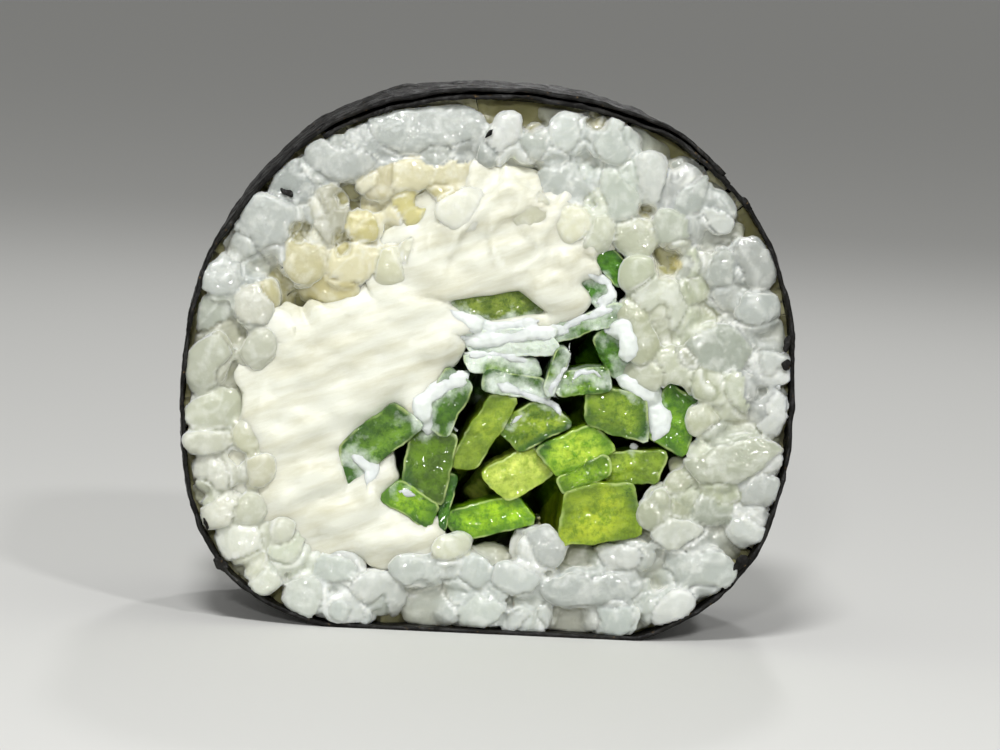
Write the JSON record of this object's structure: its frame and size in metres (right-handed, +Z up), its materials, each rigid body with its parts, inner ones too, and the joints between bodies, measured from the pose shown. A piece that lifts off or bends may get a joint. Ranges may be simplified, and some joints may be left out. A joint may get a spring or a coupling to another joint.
{
  "type": "futomaki",
  "caption": "Thick sushi roll slice standing on its rim: a nori wrap around cooked rice, with smooth cream cheese and julienned cucumber strips showing at both cut faces.",
  "frame": {"origin": "bottom centre of the bounding box, on the surface that the slice stands on", "axes": "+Y along the roll's axis from the shown cut face to the back one, +X to the right seen from the shown face, +Z up"},
  "size_m": [0.0422, 0.02, 0.038],
  "materials": {
    "nori": "toasted seaweed sheet, dark brown-green, semi-gloss",
    "cooked_rice": "cooked short-grain rice, translucent and moist",
    "cream_cheese": "soft fresh cheese, smooth and smeared",
    "cucumber": "fresh cut cucumber, moist flesh with darker green skin"
  },
  "bodies": {
    "root": {"nori": "nori", "rice": "cooked_rice", "cream_cheese": "cream_cheese", "cucumber_strip_01": "cucumber", "cucumber_strip_02": "cucumber", "cucumber_strip_03": "cucumber", "cucumber_strip_04": "cucumber", "cucumber_strip_05": "cucumber", "cucumber_strip_06": "cucumber", "cucumber_strip_07": "cucumber", "cucumber_strip_08": "cucumber", "cucumber_strip_09": "cucumber", "cucumber_strip_10": "cucumber", "cucumber_strip_11": "cucumber", "cucumber_strip_12": "cucumber", "cucumber_strip_13": "cucumber", "cucumber_strip_14": "cucumber", "cucumber_strip_15": "cucumber", "cucumber_strip_16": "cucumber", "cucumber_strip_17": "cucumber", "cucumber_strip_18": "cucumber", "cucumber_strip_19": "cucumber", "cucumber_strip_20": "cucumber", "cucumber_strip_21": "cucumber", "cucumber_strip_22": "cucumber", "cucumber_strip_23": "cucumber", "cucumber_strip_24": "cucumber", "cucumber_strip_25": "cucumber"}
  },
  "joints": []
}
